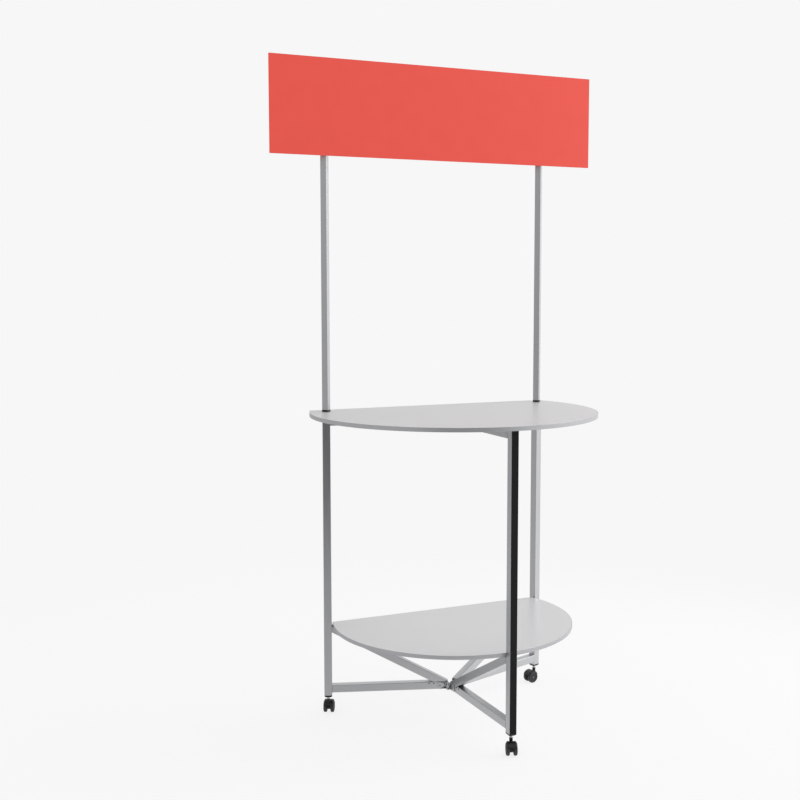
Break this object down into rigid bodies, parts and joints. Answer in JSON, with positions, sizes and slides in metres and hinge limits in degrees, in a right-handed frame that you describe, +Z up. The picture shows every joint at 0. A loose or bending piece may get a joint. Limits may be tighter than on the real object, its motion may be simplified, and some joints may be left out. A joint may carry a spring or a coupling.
{
  "type": "folding portable bar",
  "caption": "Folding portable bar: hinged aluminium leg frames on castors carry a half-round counter, a lower shelf and a plain red sign on square poles.",
  "frame": {"origin": "on the floor, under the middle of the bar's bounding box", "axes": "+Z up; front, with the round edge of the counter, towards -Y; +X to the right seen from the front"},
  "size_m": [1.146, 0.658, 2.11],
  "materials": {
    "aluminium_profile": "satin anodised",
    "hinge_steel": "brushed",
    "black_plastic": "matte moulded",
    "castor_tread": "matte moulded",
    "laminate": "light grey laminate, semi-gloss",
    "edge_band": "satin grey banding",
    "sign_red": "plain satin red"
  },
  "bodies": {
    "front_frame": {"front_post": "aluminium_profile", "front_post_strip": "black_plastic", "front_post_cap": "black_plastic", "front_top_arm": "aluminium_profile", "front_bottom_strut": "aluminium_profile", "front_diagonal_brace": "aluminium_profile", "front_shelf_rest": "black_plastic", "front_castor_socket": "black_plastic", "left_upper_hinge_fixed_leaf": "hinge_steel", "left_upper_hinge_pin": "hinge_steel", "left_lower_hinge_fixed_leaf": "hinge_steel", "left_lower_hinge_pin": "hinge_steel", "right_upper_hinge_fixed_leaf": "hinge_steel", "right_upper_hinge_pin": "hinge_steel", "right_lower_hinge_fixed_leaf": "hinge_steel", "right_lower_hinge_pin": "hinge_steel"},
    "left_frame": {"left_post": "aluminium_profile", "left_post_strip": "black_plastic", "left_post_cap": "black_plastic", "left_top_arm": "aluminium_profile", "left_bottom_strut": "aluminium_profile", "left_diagonal_brace": "aluminium_profile", "left_shelf_rest": "black_plastic", "left_castor_socket": "black_plastic", "left_upper_hinge_moving_leaf": "hinge_steel", "left_lower_hinge_moving_leaf": "hinge_steel"},
    "right_frame": {"right_post": "aluminium_profile", "right_post_strip": "black_plastic", "right_post_cap": "black_plastic", "right_top_arm": "aluminium_profile", "right_bottom_strut": "aluminium_profile", "right_diagonal_brace": "aluminium_profile", "right_shelf_rest": "black_plastic", "right_castor_socket": "black_plastic", "right_upper_hinge_moving_leaf": "hinge_steel", "right_lower_hinge_moving_leaf": "hinge_steel"},
    "front_castor": {"front_castor_fork": "black_plastic", "front_castor_axle": "hinge_steel"},
    "front_wheel_a": {"front_castor_wheel_a": "castor_tread"},
    "front_wheel_b": {"front_castor_wheel_b": "castor_tread"},
    "left_castor": {"left_castor_fork": "black_plastic", "left_castor_axle": "hinge_steel"},
    "left_wheel_a": {"left_castor_wheel_a": "castor_tread"},
    "left_wheel_b": {"left_castor_wheel_b": "castor_tread"},
    "right_castor": {"right_castor_fork": "black_plastic", "right_castor_axle": "hinge_steel"},
    "right_wheel_a": {"right_castor_wheel_a": "castor_tread"},
    "right_wheel_b": {"right_castor_wheel_b": "castor_tread"},
    "counter": {"counter_board": "laminate", "counter_edge_band": "edge_band"},
    "shelf": {"shelf_board": "laminate", "shelf_edge_band": "edge_band"},
    "sign": {"sign_panel": "sign_red", "left_pole": "aluminium_profile", "left_pole_foot": "black_plastic", "left_sign_sleeve": "aluminium_profile", "right_pole": "aluminium_profile", "right_pole_foot": "black_plastic", "right_sign_sleeve": "aluminium_profile"}
  },
  "joints": [
    {"name": "left_fold", "type": "hinge", "parent": "front_frame", "child": "left_frame", "pos_m": [-0.021, 0.12703, 0.5], "axis": [0, 0, -1], "range_deg": [-108.5, 0]},
    {"name": "right_fold", "type": "hinge", "parent": "front_frame", "child": "right_frame", "pos_m": [0.021, 0.12703, 0.5], "axis": [0, 0, -1], "range_deg": [0, 108.5]},
    {"name": "front_castor_swivel", "type": "hinge", "parent": "front_frame", "child": "front_castor", "pos_m": [0, -0.26697, 0.07], "axis": [0, 0, 1], "continuous": true},
    {"name": "left_castor_swivel", "type": "hinge", "parent": "left_frame", "child": "left_castor", "pos_m": [-0.38798, 0.27197, 0.07], "axis": [0, 0, 1], "continuous": true},
    {"name": "right_castor_swivel", "type": "hinge", "parent": "right_frame", "child": "right_castor", "pos_m": [0.38798, 0.27197, 0.07], "axis": [0, 0, 1], "continuous": true},
    {"name": "front_wheel_a_spin", "type": "hinge", "parent": "front_castor", "child": "front_wheel_a", "pos_m": [-0.00562, -0.28087, 0.02], "axis": [0.9272, -0.3746, 0], "continuous": true},
    {"name": "front_wheel_b_spin", "type": "hinge", "parent": "front_castor", "child": "front_wheel_b", "pos_m": [-0.00562, -0.28087, 0.02], "axis": [0.9272, -0.3746, 0], "continuous": true},
    {"name": "left_wheel_a_spin", "type": "hinge", "parent": "left_castor", "child": "left_wheel_a", "pos_m": [-0.38093, 0.28521, 0.02], "axis": [-0.8829, 0.4695, 0], "continuous": true},
    {"name": "left_wheel_b_spin", "type": "hinge", "parent": "left_castor", "child": "left_wheel_b", "pos_m": [-0.38093, 0.28521, 0.02], "axis": [-0.8829, 0.4695, 0], "continuous": true},
    {"name": "right_wheel_a_spin", "type": "hinge", "parent": "right_castor", "child": "right_wheel_a", "pos_m": [0.3732, 0.26936, 0.02], "axis": [0.1736, -0.9848, 0], "continuous": true},
    {"name": "right_wheel_b_spin", "type": "hinge", "parent": "right_castor", "child": "right_wheel_b", "pos_m": [0.3732, 0.26936, 0.02], "axis": [0.1736, -0.9848, 0], "continuous": true},
    {"name": "counter_lift", "type": "slide", "parent": "front_frame", "child": "counter", "axis": [0, 0, 1], "range_m": [0, 0.1]},
    {"name": "shelf_lift", "type": "slide", "parent": "front_frame", "child": "shelf", "axis": [0, 0, 1], "range_m": [0, 0.1]},
    {"name": "sign_lift", "type": "slide", "parent": "counter", "child": "sign", "axis": [0, 0, 1], "range_m": [0, 0.1]}
  ]
}
